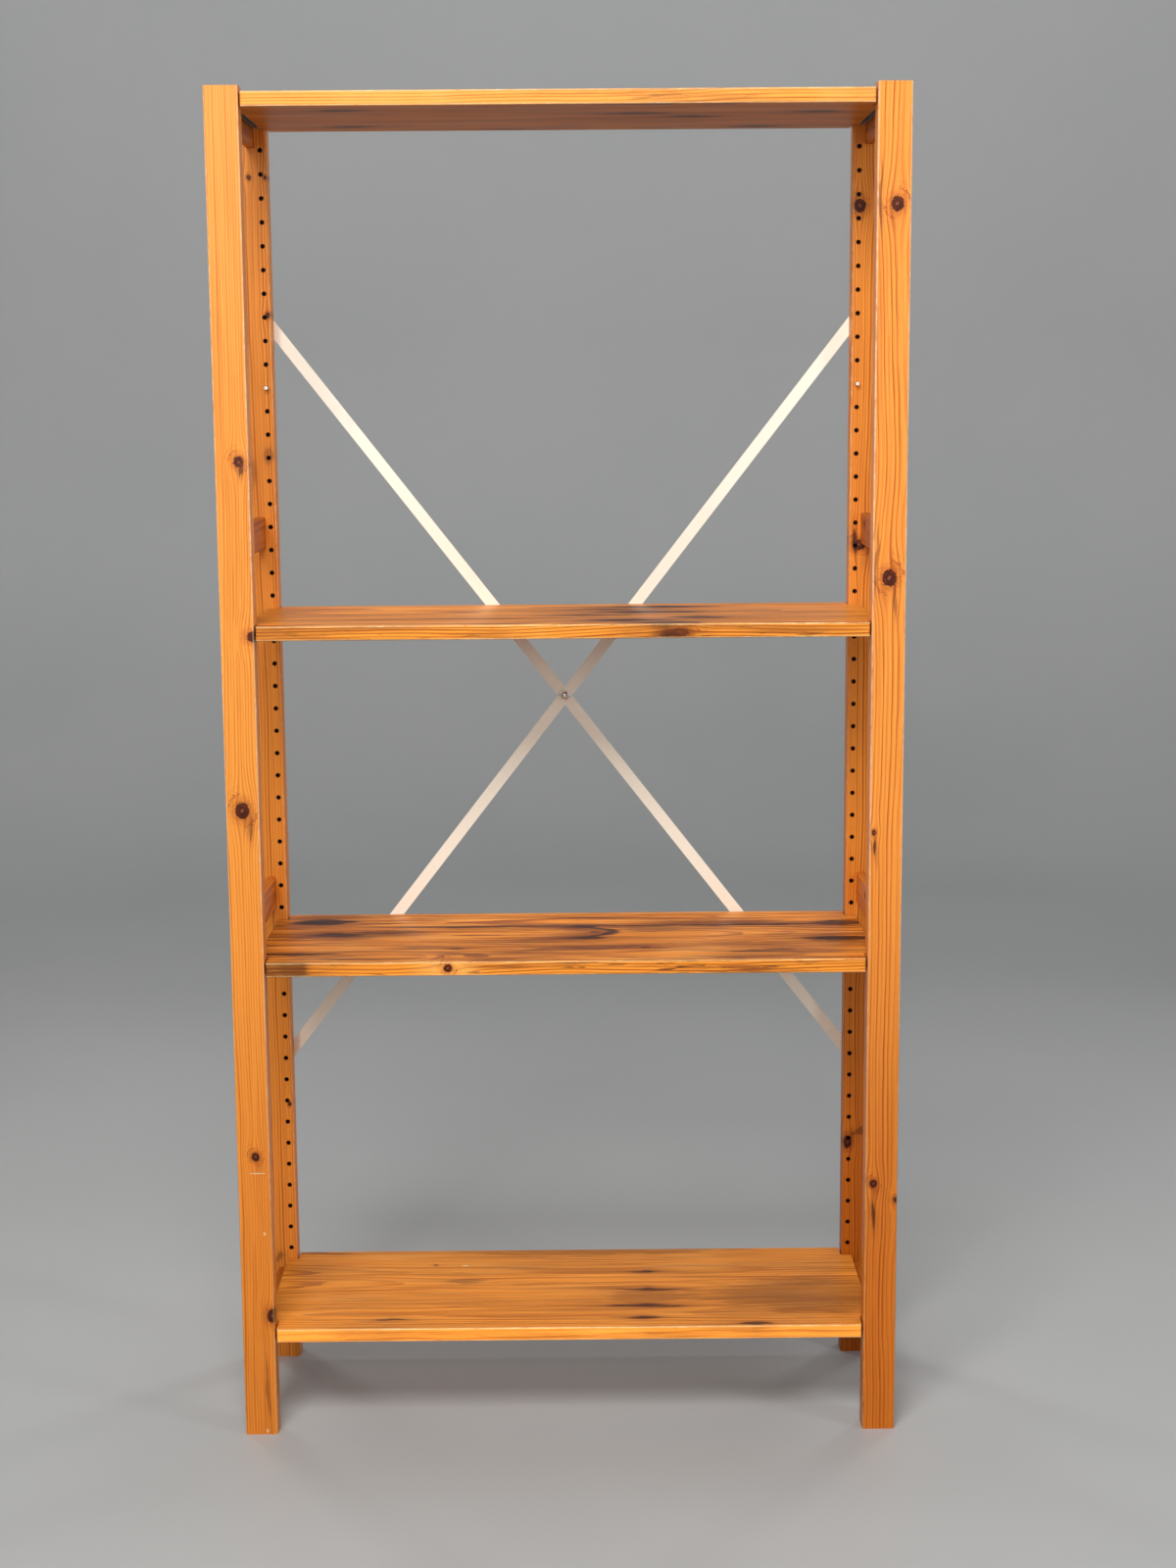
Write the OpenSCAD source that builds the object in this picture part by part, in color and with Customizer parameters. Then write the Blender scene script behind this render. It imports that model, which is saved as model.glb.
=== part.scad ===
// Open pine bookcase with adjustable shelves.
// Two ladder sides carry notched shelves on steel pins, and a flat steel X brace keeps the back square.
// Units are millimetres. +X is to the right, +Y to the back, +Z up.
// The origin is on the floor, in the middle of the whole outline.

/* [Frame] */
// Overall width across both ladder sides
width = 890; // [600:1:1200]
// Depth from the front face of the front posts to the back face of the rear posts
depth = 300; // [260:1:500]
// Height of the posts
height = 1790; // [1780:1:2260]
// Width of a post, across the front
post_w = 44; // [38:1:60]
// Thickness of a post, from front to back
post_t = 32; // [28:1:45]
// Radius of the eased long edges of a post
post_edge_r = 2.5; // [1:0.5:6]

/* [Rungs] */
// Height of a rung
rung_h = 44; // [30:1:55]
// Thickness of a rung
rung_t = 12; // [8:1:14]
// Depth of a rung's housing in each post
rung_housing = 12; // [6:1:15]
// Radius of the eased long edges of a rung
rung_edge_r = 2.5; // [0.5:0.5:3]
// Middle of the bottom rung above the floor
bottom_rung_z = 117; // [60:1:200]
// Middle of the lower rung above the floor
lower_rung_z = 704; // [400:1:800]
// Middle of the upper rung above the floor
upper_rung_z = 1217; // [1000:1:1400]
// Middle of the top rung below the top of the post
top_rung_drop = 28; // [28:1:120]

/* [Shelf holes] */
// Distance between rows of holes
hole_pitch = 32; // [28:1:36]
// Height of the lowest row above the floor
first_hole_z = 105; // [60:1:200]
// Least distance from the top row to the top of the post
hole_top_margin = 20; // [15:1:60]
// Distance of a column of holes from the side of the post
hole_inset = 8.5; // [7:0.5:10]
// Diameter of a hole
hole_d = 6.1; // [5.1:0.1:8.1]
// Depth of a hole
hole_depth = 13; // [8:1:20]

/* [Pins] */
// Diameter of a shelf pin
pin_d = 6; // [5:0.1:8]
// Length of a pin inside its post
pin_hold = 12; // [6:1:12]
// Length of a pin that stands out of its post
pin_reach = 9; // [5:1:12]
// Chamfer at both ends of a pin
pin_chamfer = 0.6; // [0.2:0.1:1]
// Row of the spare pins, counted from the lowest row as 0
spare_pin_row = 41; // [36:1:45]

/* [Shelves] */
// Thickness of a shelf
shelf_t = 19; // [16:1:25]
// Gap between a shelf's back edge and the back face of the rear posts
shelf_back_gap = 3; // [2:0.5:10]
// Length of the tongue that reaches in between the posts at each end
tongue_l = 14; // [12:0.5:14]
// Clearance between a shelf and the posts
shelf_gap = 2; // [1:0.5:3]
// Height of a shelf's top face above the middle of its pins
shelf_rise = 14; // [11:0.5:15]
// Radius of the long edges of a shelf
shelf_edge_r = 2; // [0.5:0.5:4]
// Radius of a shelf's corners, seen from above
shelf_corner_r = 3; // [1:0.5:6]
// Radius of the inner corners of a notch
notch_r = 4; // [1:0.5:5]
// Row of the bottom shelf
bottom_row = 1; // [0:1:4]
// Row of the lower shelf
lower_row = 17; // [8:1:20]
// Row of the upper shelf
upper_row = 31; // [24:1:34]

/* [End channels] */
// Thickness of the sheet steel
channel_sheet = 1; // [0.6:0.1:1.2]
// Clearance between a channel and its pin
channel_gap = 0.3; // [0.3:0.1:0.6]
// Distance from a channel's end to the notch
channel_setback = 0.5; // [0:0.5:2]

/* [Brace] */
// Width of a brace bar
bar_w = 16; // [12:1:25]
// Thickness of a brace bar
bar_t = 2; // [1:0.5:3]
// Height of the lower screws above the floor
brace_low_z = 435; // [300:1:600]
// Height of the upper screws above the floor
brace_high_z = 1525; // [1300:1:1600]
// Half the length of the flat where the bars cross
brace_flat = 30; // [20:1:60]
// Diameter of the rivet's shank
rivet_d = 5; // [4:0.5:6]
// Diameter of a rivet head
rivet_head_d = 10; // [8:0.5:14]
// Height of a rivet head
rivet_head_h = 1.6; // [1:0.1:2]
// Diameter of the small half-round punch mark on a bar
punch_d = 5; // [3:0.5:6]
// Distance from the rivet to the punch mark
punch_at = 226; // [100:1:400]

/* [Screws] */
// Diameter of a screw's shank
screw_d = 3.5; // [3:0.5:4]
// Length of a screw under its head
screw_l = 18; // [12:1:18]
// Diameter of a screw head
screw_head_d = 8; // [6:0.5:10]
// Height of a screw head
screw_head_h = 1.4; // [1:0.1:1.4]
// Diameter of the holes in the ends of the bars
bar_hole_d = 4.2; // [4.2:0.1:5]

/* [Hidden] */

LEFT = -1;
RIGHT = 1;
pine = [0.82, 0.49, 0.22];
pine_light = [0.86, 0.55, 0.27];
zinc = [0.72, 0.72, 0.70];
cream = [0.90, 0.85, 0.76];
eps = 0.01;
$fn = 48;

outline_depth = depth + 2 * bar_t + rivet_head_h;
front_y = -outline_depth / 2;
back_y = front_y + depth;
inner_x = width / 2 - post_w;
post_x = width / 2 - post_w / 2;
pin_x = inner_x + hole_inset;
tongue_x = inner_x + tongue_l;
shelf_depth = depth - shelf_back_gap;
last_row = floor((height - hole_top_margin - first_hole_z) / hole_pitch);
top_rung_z = height - top_rung_drop;
rung_heights = [bottom_rung_z, lower_rung_z, upper_rung_z, top_rung_z];
brace_mid_z = (brace_low_z + brace_high_z) / 2;
brace_half = norm([post_x, (brace_high_z - brace_low_z) / 2]);
brace_tilt = atan2((brace_high_z - brace_low_z) / 2, post_x);
end_flat = brace_half - bar_w;

function row_z(row) = first_hole_z + row * hole_pitch;

// A rectangle of size [w, h] on the origin's middle, with corners of radius r.
module rounded_rect(w, h, r) {
    square([w - 2 * r, h], center = true);
    square([w, h - 2 * r], center = true);
    for (x = [-1, 1], y = [-1, 1])
        translate([x * (w / 2 - r), y * (h / 2 - r)]) circle(r = r);
}

// Turns a shape drawn in X and Z, with its extrusion along Y, from y = 0 to y = length.
module along_y(length) {
    translate([0, length, 0]) rotate([90, 0, 0]) linear_extrude(length) children();
}

// ---- Ladder sides ----

module rung_solid(side, z) {
    length = depth - 2 * (post_t - rung_housing);
    translate([side * post_x, front_y + post_t - rung_housing, z])
        along_y(length) rounded_rect(rung_t, rung_h, rung_edge_r);
}

// Two columns of blind holes in the post's face at mouth_y. The face looks towards +Y where facing is 1.
module shelf_holes(side, mouth_y, facing) {
    for (row = [0:last_row], column = [-1, 1])
        translate([
            side * post_x + column * (post_w / 2 - hole_inset),
            mouth_y + facing * eps,
            row_z(row)
        ])
            rotate([facing * 90, 0, 0]) cylinder(d = hole_d, h = hole_depth + eps);
}

module screw_pilots(side) {
    for (z = [brace_low_z, brace_high_z])
        translate([side * post_x, back_y + eps, z])
            rotate([90, 0, 0]) cylinder(d = screw_d, h = screw_l + eps);
}

module post_blank(side, face_y) {
    translate([side * post_x, face_y + post_t / 2, 0])
        linear_extrude(height) rounded_rect(post_w, post_t, post_edge_r);
}

module front_post(side) {
    difference() {
        post_blank(side, front_y);
        shelf_holes(side, front_y + post_t, 1);
        for (z = rung_heights) rung_solid(side, z);
    }
}

module rear_post(side) {
    difference() {
        post_blank(side, back_y - post_t);
        shelf_holes(side, back_y - post_t, -1);
        for (z = rung_heights) rung_solid(side, z);
        screw_pilots(side);
    }
}

module left_front_post() { color(pine_light) front_post(LEFT); }
module right_front_post() { color(pine_light) front_post(RIGHT); }
module left_rear_post() { color(pine) rear_post(LEFT); }
module right_rear_post() { color(pine) rear_post(RIGHT); }

module left_bottom_rung() { color(pine) rung_solid(LEFT, bottom_rung_z); }
module left_lower_rung() { color(pine) rung_solid(LEFT, lower_rung_z); }
module left_upper_rung() { color(pine) rung_solid(LEFT, upper_rung_z); }
module left_top_rung() { color(pine) rung_solid(LEFT, top_rung_z); }
module right_bottom_rung() { color(pine) rung_solid(RIGHT, bottom_rung_z); }
module right_lower_rung() { color(pine) rung_solid(RIGHT, lower_rung_z); }
module right_upper_rung() { color(pine) rung_solid(RIGHT, upper_rung_z); }
module right_top_rung() { color(pine) rung_solid(RIGHT, top_rung_z); }

// ---- Pins ----

// A pin on the Y axis. Its free end points to +Y, and y = 0 is the face of the post.
module pin() {
    total = pin_hold + pin_reach;
    r = pin_d / 2;
    translate([0, -pin_hold, 0]) rotate([-90, 0, 0]) rotate_extrude()
        polygon([
            [0, 0], [r - pin_chamfer, 0], [r, pin_chamfer],
            [r, total - pin_chamfer], [r - pin_chamfer, total], [0, total]
        ]);
}

module front_pin(side, row) {
    translate([side * pin_x, front_y + post_t, row_z(row)]) pin();
}

module rear_pin(side, row) {
    translate([side * pin_x, back_y - post_t, row_z(row)]) rotate([0, 0, 180]) pin();
}

module pin_set(row) {
    color(zinc) for (side = [LEFT, RIGHT]) {
        front_pin(side, row);
        rear_pin(side, row);
    }
}

module bottom_shelf_pins() { pin_set(bottom_row); }
module lower_shelf_pins() { pin_set(lower_row); }
module upper_shelf_pins() { pin_set(upper_row); }
module top_shelf_pins() { pin_set(last_row); }
module left_spare_pin() { color(zinc) rear_pin(LEFT, spare_pin_row); }
module right_spare_pin() { color(zinc) rear_pin(RIGHT, spare_pin_row); }

// ---- Shelves ----

// The quarter left between two walls and a circle of radius r, with its corner on the origin.
module inner_fillet(r) {
    difference() {
        translate([-eps, -eps]) square(r + eps);
        translate([r, r]) circle(r = r);
    }
}

// The shelf from above, with y = 0 at its front edge.
module shelf_plan() {
    strip_w = 2 * (inner_x - shelf_gap);
    notch_front = post_t + shelf_gap;
    notch_back = depth - post_t - shelf_gap;
    translate([0, shelf_depth / 2]) rounded_rect(strip_w, shelf_depth, shelf_corner_r);
    translate([0, (notch_front + notch_back) / 2])
        rounded_rect(2 * tongue_x, notch_back - notch_front, shelf_corner_r);
    for (side = [0, 1]) mirror([side, 0]) {
        translate([strip_w / 2, notch_front]) mirror([0, 1]) inner_fillet(notch_r);
        translate([strip_w / 2, notch_back]) inner_fillet(notch_r);
    }
}

// Round-topped steel channel, drawn in X and Z on the pin's axis.
module channel_profile() {
    inner_r = pin_d / 2 + channel_gap;
    outer_r = inner_r + channel_sheet;
    leg = shelf_t - shelf_rise;
    difference() {
        union() {
            circle(r = outer_r);
            translate([-outer_r, -leg]) square([2 * outer_r, leg]);
        }
        circle(r = inner_r);
        translate([-inner_r, -leg - 1]) square([2 * inner_r, leg + 1]);
    }
}

// The square rebate that holds a channel. It is open below and at the end of the tongue.
module channel_rebate(side) {
    outer_r = pin_d / 2 + channel_gap + channel_sheet;
    below = shelf_t - shelf_rise + 1;
    width_x = outer_r + tongue_x - pin_x + 1;
    translate([side > 0 ? pin_x - outer_r : -pin_x + outer_r - width_x, front_y + post_t, -below])
        cube([width_x, depth - 2 * post_t, below + outer_r]);
}

module shelf_board(row) {
    translate([0, 0, row_z(row)]) difference() {
        intersection() {
            translate([0, front_y, shelf_rise - shelf_t]) linear_extrude(shelf_t) shelf_plan();
            translate([-tongue_x, front_y + shelf_depth / 2, shelf_rise - shelf_t / 2])
                rotate([90, 0, 90]) linear_extrude(2 * tongue_x)
                    rounded_rect(shelf_depth, shelf_t, shelf_edge_r);
        }
        for (side = [LEFT, RIGHT]) channel_rebate(side);
    }
}

module channel_pair(row) {
    inset = post_t + shelf_gap + channel_setback;
    color(zinc) for (side = [LEFT, RIGHT])
        translate([side * pin_x, front_y + inset, row_z(row)])
            along_y(depth - 2 * inset) channel_profile();
}

module bottom_shelf_board() { color(pine) shelf_board(bottom_row); }
module lower_shelf_board() { color(pine) shelf_board(lower_row); }
module upper_shelf_board() { color(pine) shelf_board(upper_row); }
module top_shelf_board() { color(pine_light) shelf_board(last_row); }
module bottom_shelf_channels() { channel_pair(bottom_row); }
module lower_shelf_channels() { channel_pair(lower_row); }
module upper_shelf_channels() { channel_pair(upper_row); }
module top_shelf_channels() { channel_pair(last_row); }

// ---- Brace ----

// The flat outline of a bar with round ends, drawn along X on the rivet's axis.
module bar_outline() {
    difference() {
        union() {
            square([2 * brace_half, bar_w], center = true);
            for (x = [-1, 1]) translate([x * brace_half, 0]) circle(d = bar_w);
        }
        circle(d = rivet_d);
        for (x = [-1, 1]) translate([x * brace_half, 0]) circle(d = bar_hole_d);
    }
}

// The bar in X and Y: it steps back by bow in the middle and lies on the posts at its ends.
module bar_bow(bow) {
    reach = brace_half + bar_w;
    polygon([
        [-reach, 0], [-end_flat, 0], [-brace_flat, bow], [brace_flat, bow], [end_flat, 0], [reach, 0],
        [reach, bar_t], [end_flat, bar_t], [brace_flat, bow + bar_t],
        [-brace_flat, bow + bar_t], [-end_flat, bar_t], [-reach, bar_t]
    ]);
}

// A bar on the rivet's axis, with its outline in X and Z and its thickness along +Y.
module bar(bow) {
    intersection() {
        translate([0, bow + bar_t, 0]) rotate([90, 0, 0])
            linear_extrude(2 * (bow + bar_t), center = true) bar_outline();
        translate([0, 0, -bar_w]) linear_extrude(2 * bar_w) bar_bow(bow);
    }
}

// Places its children at the crossing, turned so that +X runs up to the given side.
module on_brace(side) {
    translate([0, back_y, brace_mid_z])
        mirror([side == LEFT ? 1 : 0, 0, 0]) rotate([0, -brace_tilt, 0]) children();
}

module brace_front_bar() {
    color(cream) on_brace(RIGHT) bar(0);
}

// Half a disc, 0.4 mm deep in the front face of the bowed bar.
module punch_mark() {
    face_y = bar_t * (end_flat - punch_at) / (end_flat - brace_flat);
    translate([punch_at, face_y, 0]) intersection() {
        rotate([90, 0, 0]) cylinder(d = punch_d, h = 0.8, center = true);
        translate([0, -1, -punch_d]) cube([punch_d, 2, 2 * punch_d]);
    }
}

module brace_rear_bar() {
    color(cream) on_brace(LEFT) difference() {
        bar(bar_t);
        punch_mark();
    }
}

// A shallow dome on the XY plane.
module dome(d, h) {
    r = (d * d / 4 + h * h) / (2 * h);
    intersection() {
        translate([0, 0, h - r]) sphere(r = r, $fn = 96);
        cylinder(d = d, h = h);
    }
}

module brace_rivet() {
    color(zinc) translate([0, back_y, brace_mid_z]) rotate([90, 0, 0]) {
        translate([0, 0, -2 * bar_t]) cylinder(d = rivet_d, h = 2 * bar_t);
        dome(rivet_head_d, rivet_head_h);
        translate([0, 0, -2 * bar_t]) mirror([0, 0, 1]) dome(rivet_head_d, rivet_head_h);
    }
}

// A cross-head screw on the Z axis. Its head stands on the XY plane and its shank goes down.
module screw() {
    tip = screw_d;
    difference() {
        dome(screw_head_d, screw_head_h);
        for (turn = [0, 90]) rotate([0, 0, turn])
            translate([-screw_head_d / 4, -0.4, screw_head_h - 0.9]) cube([screw_head_d / 2, 0.8, 2]);
    }
    translate([0, 0, tip - screw_l - bar_t]) cylinder(d = screw_d, h = screw_l + bar_t - tip);
    translate([0, 0, -screw_l - bar_t]) cylinder(d1 = 0.4, d2 = screw_d, h = tip);
}

module brace_screws() {
    color(zinc) for (side = [LEFT, RIGHT], z = [brace_low_z, brace_high_z])
        translate([side * post_x, back_y + bar_t, z]) rotate([-90, 0, 0]) screw();
}

left_front_post();
left_rear_post();
right_front_post();
right_rear_post();
left_bottom_rung();
left_lower_rung();
left_upper_rung();
left_top_rung();
right_bottom_rung();
right_lower_rung();
right_upper_rung();
right_top_rung();
bottom_shelf_board();
bottom_shelf_channels();
bottom_shelf_pins();
lower_shelf_board();
lower_shelf_channels();
lower_shelf_pins();
upper_shelf_board();
upper_shelf_channels();
upper_shelf_pins();
top_shelf_board();
top_shelf_channels();
top_shelf_pins();
left_spare_pin();
right_spare_pin();
brace_front_bar();
brace_rear_bar();
brace_rivet();
brace_screws();
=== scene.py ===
"""Looks, light and camera for the bookcase with adjustable shelves.

The row frame is in metres: +X right, -Y front, +Z up, floor at zero. Materials work in millimetres.
The wood is one procedural pine. Its growth rings are a field in space, so the front, the sides, the
edges and the end grain of a piece all belong to the same timber.
"""
import math
from collections import namedtuple

import bmesh
import bpy
from mathutils import Matrix, Vector


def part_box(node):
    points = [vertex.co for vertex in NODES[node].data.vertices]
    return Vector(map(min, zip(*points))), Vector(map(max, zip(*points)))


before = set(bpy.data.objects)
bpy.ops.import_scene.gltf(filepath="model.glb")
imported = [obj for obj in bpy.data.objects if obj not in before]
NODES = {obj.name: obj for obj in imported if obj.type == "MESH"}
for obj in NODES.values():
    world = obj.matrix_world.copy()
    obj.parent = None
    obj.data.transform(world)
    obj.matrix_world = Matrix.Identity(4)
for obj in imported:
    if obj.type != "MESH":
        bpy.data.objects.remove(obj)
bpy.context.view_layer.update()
MM = 0.001  # metres

# ---------------------------------------------------------------- node arithmetic


class Num:
    """A socket in a node tree that takes ordinary arithmetic."""

    def __init__(self, tree, socket):
        self.tree, self.socket = tree, socket

    def __add__(self, other):
        return calc("ADD", self, other)

    def __sub__(self, other):
        return calc("SUBTRACT", self, other)

    def __mul__(self, other):
        return calc("MULTIPLY", self, other)

    def __truediv__(self, other):
        return calc("DIVIDE", self, other)

    def __rsub__(self, other):
        return calc("SUBTRACT", other, self)

    def __neg__(self):
        return calc("MULTIPLY", self, -1.0)

    __radd__, __rmul__ = __add__, __mul__


def tree_of(values):
    return next(value.tree for value in values if isinstance(value, Num))


def put(tree, socket, value):
    """Links a value to a socket, or sets it where it is a plain number or colour."""
    if isinstance(value, Num):
        tree.links.new(value.socket, socket)
    else:
        socket.default_value = value


def calc(operation, *values, clamp=False):
    tree = tree_of(values)
    node = tree.nodes.new("ShaderNodeMath")
    node.operation, node.use_clamp = operation, clamp
    for socket, value in zip(node.inputs, values):
        put(tree, socket, value)
    return Num(tree, node.outputs[0])


def size_of(value):
    return calc("ABSOLUTE", value)


def square(value):
    return value * value


def root(value):
    return calc("SQRT", value)


def larger(a, b):
    return calc("MAXIMUM", a, b)


def smaller(a, b):
    return calc("MINIMUM", a, b)


def clamp(value):
    return calc("ADD", value, 0.0, clamp=True)


def bell(distance_squared):
    """1 at zero, falling smoothly to 0."""
    return calc("EXPONENT", -distance_squared)


def rise(value, low, high):
    """0 below low, 1 above high, smooth between them. It falls where low is above high."""
    node = value.tree.nodes.new("ShaderNodeMapRange")
    node.interpolation_type = "SMOOTHSTEP"
    for socket, number in zip(node.inputs, (value, low, high, 0.0, 1.0)):
        put(value.tree, socket, number)
    return Num(value.tree, node.outputs[0])


def noise(x, y=0.0, z=0.0, detail=2.0, rough=0.5):
    """Smooth noise about 0, from roughly -0.5 to 0.5, over coordinates already scaled."""
    tree = tree_of((x, y, z))
    joined = tree.nodes.new("ShaderNodeCombineXYZ")
    for socket, value in zip(joined.inputs, (x, y, z)):
        put(tree, socket, value)
    node = tree.nodes.new("ShaderNodeTexNoise")
    tree.links.new(joined.outputs[0], node.inputs["Vector"])
    node.inputs["Scale"].default_value = 1.0
    node.inputs["Detail"].default_value = detail
    node.inputs["Roughness"].default_value = rough
    return Num(tree, node.outputs[0]) - 0.5


def dice(value, seed):
    """One random number from 0 to 1 for each whole number."""
    node = value.tree.nodes.new("ShaderNodeTexWhiteNoise")
    node.noise_dimensions = "1D"
    put(value.tree, node.inputs["W"], value + seed)
    return Num(value.tree, node.outputs[0])


def blend(factor, a, b, how="MIX"):
    """Mixes two colours, each a socket or an (r, g, b) in linear light."""
    tree = tree_of((factor, a, b))
    node = tree.nodes.new("ShaderNodeMix")
    node.data_type, node.blend_type, node.clamp_factor = "RGBA", how, True
    for socket, value in zip((node.inputs[0], node.inputs[6], node.inputs[7]), (factor, a, b)):
        put(tree, socket, (*value, 1.0) if isinstance(value, tuple) else value)
    return Num(tree, node.outputs[2])


def tint(colour, tone):
    return blend(1.0, colour, tone, how="MULTIPLY")


def shade(colour, factor):
    """The colour made darker or lighter by a factor that varies over the surface."""
    tree = colour.tree
    node = tree.nodes.new("ShaderNodeVectorMath")
    node.operation = "SCALE"
    tree.links.new(colour.socket, node.inputs[0])
    put(tree, node.inputs["Scale"], factor)
    return Num(tree, node.outputs[0])


def make_group(name, inputs, outputs, build):
    """A reusable piece of node tree. build takes one Num for each input and returns one for each output."""
    tree = bpy.data.node_groups.new(name, "ShaderNodeTree")
    for side, names in (("INPUT", inputs), ("OUTPUT", outputs)):
        for socket_name in names:
            tree.interface.new_socket(socket_name, in_out=side, socket_type="NodeSocketFloat")
    enter, leave = tree.nodes.new("NodeGroupInput"), tree.nodes.new("NodeGroupOutput")
    results = build(*[Num(tree, socket) for socket in enter.outputs[:len(inputs)]])
    for socket, value in zip(leave.inputs, results):
        put(tree, socket, value)
    return tree


def use_group(group, tree, *values):
    node = tree.nodes.new("ShaderNodeGroup")
    node.node_tree = group
    for socket, value in zip(node.inputs, values):
        put(tree, socket, value)
    return [Num(tree, socket) for socket in node.outputs]


def new_material(name):
    material = bpy.data.materials.new(name)
    material.use_nodes = True
    material.node_tree.nodes.clear()
    return material, material.node_tree


def place(tree):
    """Position in mm in the row frame, riding with the piece, and the direction it faces."""
    coords = tree.nodes.new("ShaderNodeTexCoord")
    axes = []
    for output in ("Object", "Normal"):
        split = tree.nodes.new("ShaderNodeSeparateXYZ")
        tree.links.new(coords.outputs[output], split.inputs[0])
        axes.append([Num(tree, socket) for socket in split.outputs])
    return [axis * (1.0 / MM) for axis in axes[0]], axes[1]


def surface(tree, colour, rough, height=None, depth=0.1, **fixed):
    """Ends a tree in one shader. Height is bump, depth its size in mm. Fixed values sit on the shader."""
    shader = tree.nodes.new("ShaderNodeBsdfPrincipled")
    put(tree, shader.inputs["Base Color"], colour)
    put(tree, shader.inputs["Roughness"], rough)
    for name, value in fixed.items():
        shader.inputs[name.replace("_", " ")].default_value = value
    if height is not None:
        bump = tree.nodes.new("ShaderNodeBump")
        bump.inputs["Strength"].default_value = 1.0
        bump.inputs["Distance"].default_value = depth * MM
        put(tree, bump.inputs["Height"], height)
        tree.links.new(bump.outputs[0], shader.inputs["Normal"])
    out = tree.nodes.new("ShaderNodeOutputMaterial")
    tree.links.new(shader.outputs[0], out.inputs["Surface"])


# ---------------------------------------------------------------- knots and flames in the pine

# colours in linear light
EARLY = (0.920, 0.320, 0.047)
LATE = (0.540, 0.130, 0.013)
PALE = (1.000, 0.500, 0.160)
BROWN = (0.235, 0.062, 0.018)
RESIN = (0.400, 0.085, 0.014)
RED = (0.300, 0.048, 0.010)
STAIN = (0.052, 0.015, 0.010)
RAW = (0.880, 0.640, 0.380)
KNOT_DARK = (0.044, 0.006, 0.003)
KNOT_PALE = (0.150, 0.026, 0.009)
KNOT_PIP = (0.420, 0.160, 0.075)
PAINTED_HOLE_SHADE = (0.020, 0.006, 0.004)


class Knot:
    """A branch that crosses the timber. Place and radius in mm, lean in degrees away from the thickness.

    tall stretches it along the grain, tail is the length of its dark streak, and deep is how far in it ends.
    sweep, 1 or -1, is the side to which red lines of grain curl round it.
    """

    def __init__(self, u, v, radius, w=0.0, lean=0.0, tall=1.15, tail=0.0, deep=1.0e4, sweep=0.0):
        lean = math.radians(lean)
        self.numbers = (u, v, w, radius, math.cos(lean), math.sin(lean), tall, tail, deep, sweep)


KNOT_INPUTS = ("u", "v", "w", "ragged", "hair", "strand", "at_u", "at_v", "at_w", "radius", "across", "along",
               "tall", "tail", "deep", "sweep")
KnotMasks = namedtuple("KnotMasks", "core rim rings fringe halo streak pip crescent curl")


def build_knot(u, v, w, ragged, hair, strand, at_u, at_v, at_w, radius, across, along, tall, tail, deep,
               sweep):
    """Leads the grain round the knot, and gives its masks."""
    du = u - at_u
    side = (v - at_v) * across + (w - at_w) * along
    inward = (w - at_w) * across - (v - at_v) * along
    shown = rise(inward, deep + 4.0, deep)
    spread_u, spread_v = radius * 3.4 + 6.0, radius * 1.5 + 3.0
    lead = bell(square(du) / square(spread_u) + square(side) / square(spread_v)) * shown
    pull = side * lead * 0.86
    reach = root(square(du) / square(tall) + square(side)) + ragged * radius * 0.52
    part = reach / radius
    core = rise(reach, radius + 0.5, radius - 0.9) * shown
    masks = KnotMasks(
        core=core,
        rim=core * rise(part, 0.55, 0.95),
        rings=calc("SINE", part * 11.0) * 0.5 + 0.5,
        fringe=rise(part, 1.5, 0.9) * rise(hair, -0.08, 0.12) * shown,
        halo=rise(part + ragged * 1.4, 2.4, 0.9) * shown,
        streak=(bell(square(du) / (square(tail) + 1.0) + square(side) / (square(radius) * 0.36))
                * rise(tail, 0.4, 0.6) * rise(strand, -0.25, 0.15) * shown),
        pip=rise(part + ragged * 0.5, 0.30, 0.12),
        crescent=rise((side - du) / radius + ragged, -0.15, 0.75),
        curl=build_curl(du / radius, side * sweep / radius, part, ragged, strand) * size_of(sweep) * shown)
    return (v - pull * across, w - pull * along, *masks)


def build_curl(along, aside, part, ragged, strand):
    """Red lines of grain that wrap round a knot on one diagonal, and the smear below it."""
    ripple = rise(calc("SINE", part * 7.0 + ragged * 6.0), 0.35, 0.90)
    ripple = ripple * rise(part, 1.15, 1.40) * rise(part, 3.4, 1.5) * rise(aside * along, -0.1, -1.1)
    smear = bell(square(along + 2.3) * 0.30 + square(aside - 0.7) * 1.5)
    return larger(ripple, smear * clamp(strand * 1.2 + 0.55) * 0.6)


def build_stain(u, v, strand, at_u, at_v, long, wide):
    """A resinous dark flame along the grain, drawn out at its ends: its soft glow and its ragged heart."""
    du = (u - at_u) / long
    dv = (v - at_v) / (wide * larger(1.25 - size_of(du) * 0.60, 0.35))
    glow = bell(square(du) * 0.45 + square(dv) * 0.30) * clamp(strand * 1.6 + 0.85)
    heart = rise(bell(square(du) + square(dv)) * 1.20 + strand * 0.95, 0.42, 0.86)
    return glow, heart * clamp(strand * 1.5 + 1.15)


KNOT = make_group("knot", KNOT_INPUTS, ("v", "w", *KnotMasks._fields), build_knot)
STAIN_GROUP = make_group("stain", ("u", "v", "strand", "at_u", "at_v", "long", "wide"), ("glow", "heart"),
                         build_stain)

# ---------------------------------------------------------------- pine

FACING = (0.6, 0.9)  # how squarely a surface has to look along an axis to count as facing that way
HoleRows = namedtuple("HoleRows", "first count pitch column radius side")


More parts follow.
